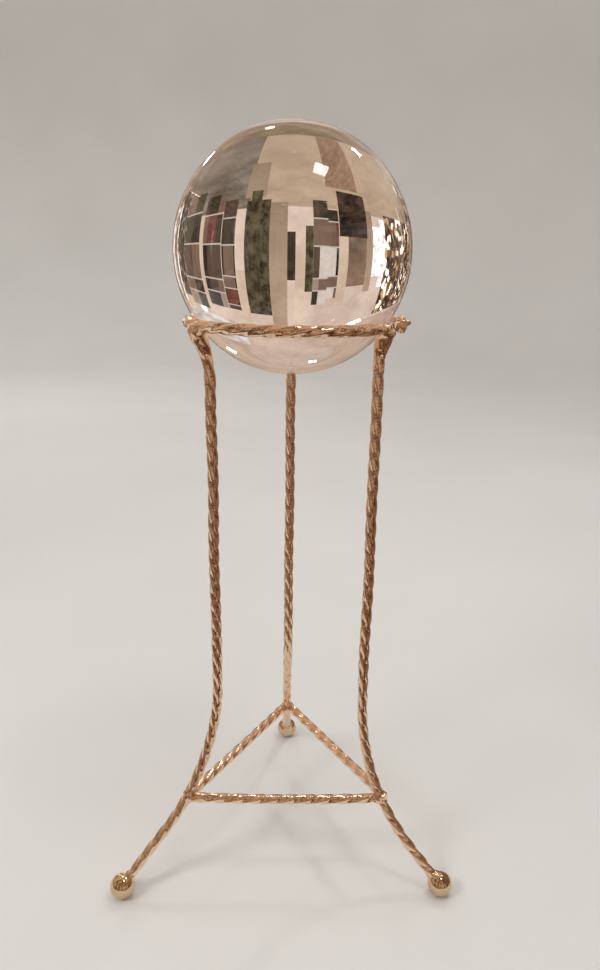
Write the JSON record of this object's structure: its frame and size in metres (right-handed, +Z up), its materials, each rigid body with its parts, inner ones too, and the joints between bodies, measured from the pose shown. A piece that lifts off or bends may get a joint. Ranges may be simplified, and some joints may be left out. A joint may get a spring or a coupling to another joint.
{
  "type": "crystal ball",
  "caption": "Solid clear glass ball resting in the ring of a tall tripod stand of twisted square rod, rose-gold plated, for magic acts and display. The ball lifts out.",
  "frame": {"origin": "on the floor, on the axis of the ring and ball", "axes": "+Z up along the axis of the ring and ball; +Y back, towards the rear leg; +X to the right when seen from the front"},
  "size_m": [0.1851, 0.164, 0.384],
  "materials": {
    "clear_glass": "polished",
    "plated_rod": "polished",
    "plated_ball": "polished",
    "plated_braze": "gloss"
  },
  "bodies": {
    "stand": {"seat_ring": "plated_rod", "ring_joint": "plated_braze", "rear_leg": "plated_rod", "left_leg": "plated_rod", "right_leg": "plated_rod", "front_brace": "plated_rod", "rear_left_brace": "plated_rod", "rear_right_brace": "plated_rod", "rear_foot": "plated_ball", "left_foot": "plated_ball", "right_foot": "plated_ball", "rear_ring_braze": "plated_braze", "left_ring_braze": "plated_braze", "right_ring_braze": "plated_braze", "rear_corner_braze": "plated_braze", "left_corner_braze": "plated_braze", "right_corner_braze": "plated_braze", "rear_foot_braze": "plated_braze", "left_foot_braze": "plated_braze", "right_foot_braze": "plated_braze"},
    "ball": {"crystal_ball": "clear_glass"}
  },
  "joints": [
    {"name": "ball_lift", "type": "slide", "parent": "stand", "child": "ball", "axis": [0, 0, 1], "range_m": [0, 0.06]}
  ]
}
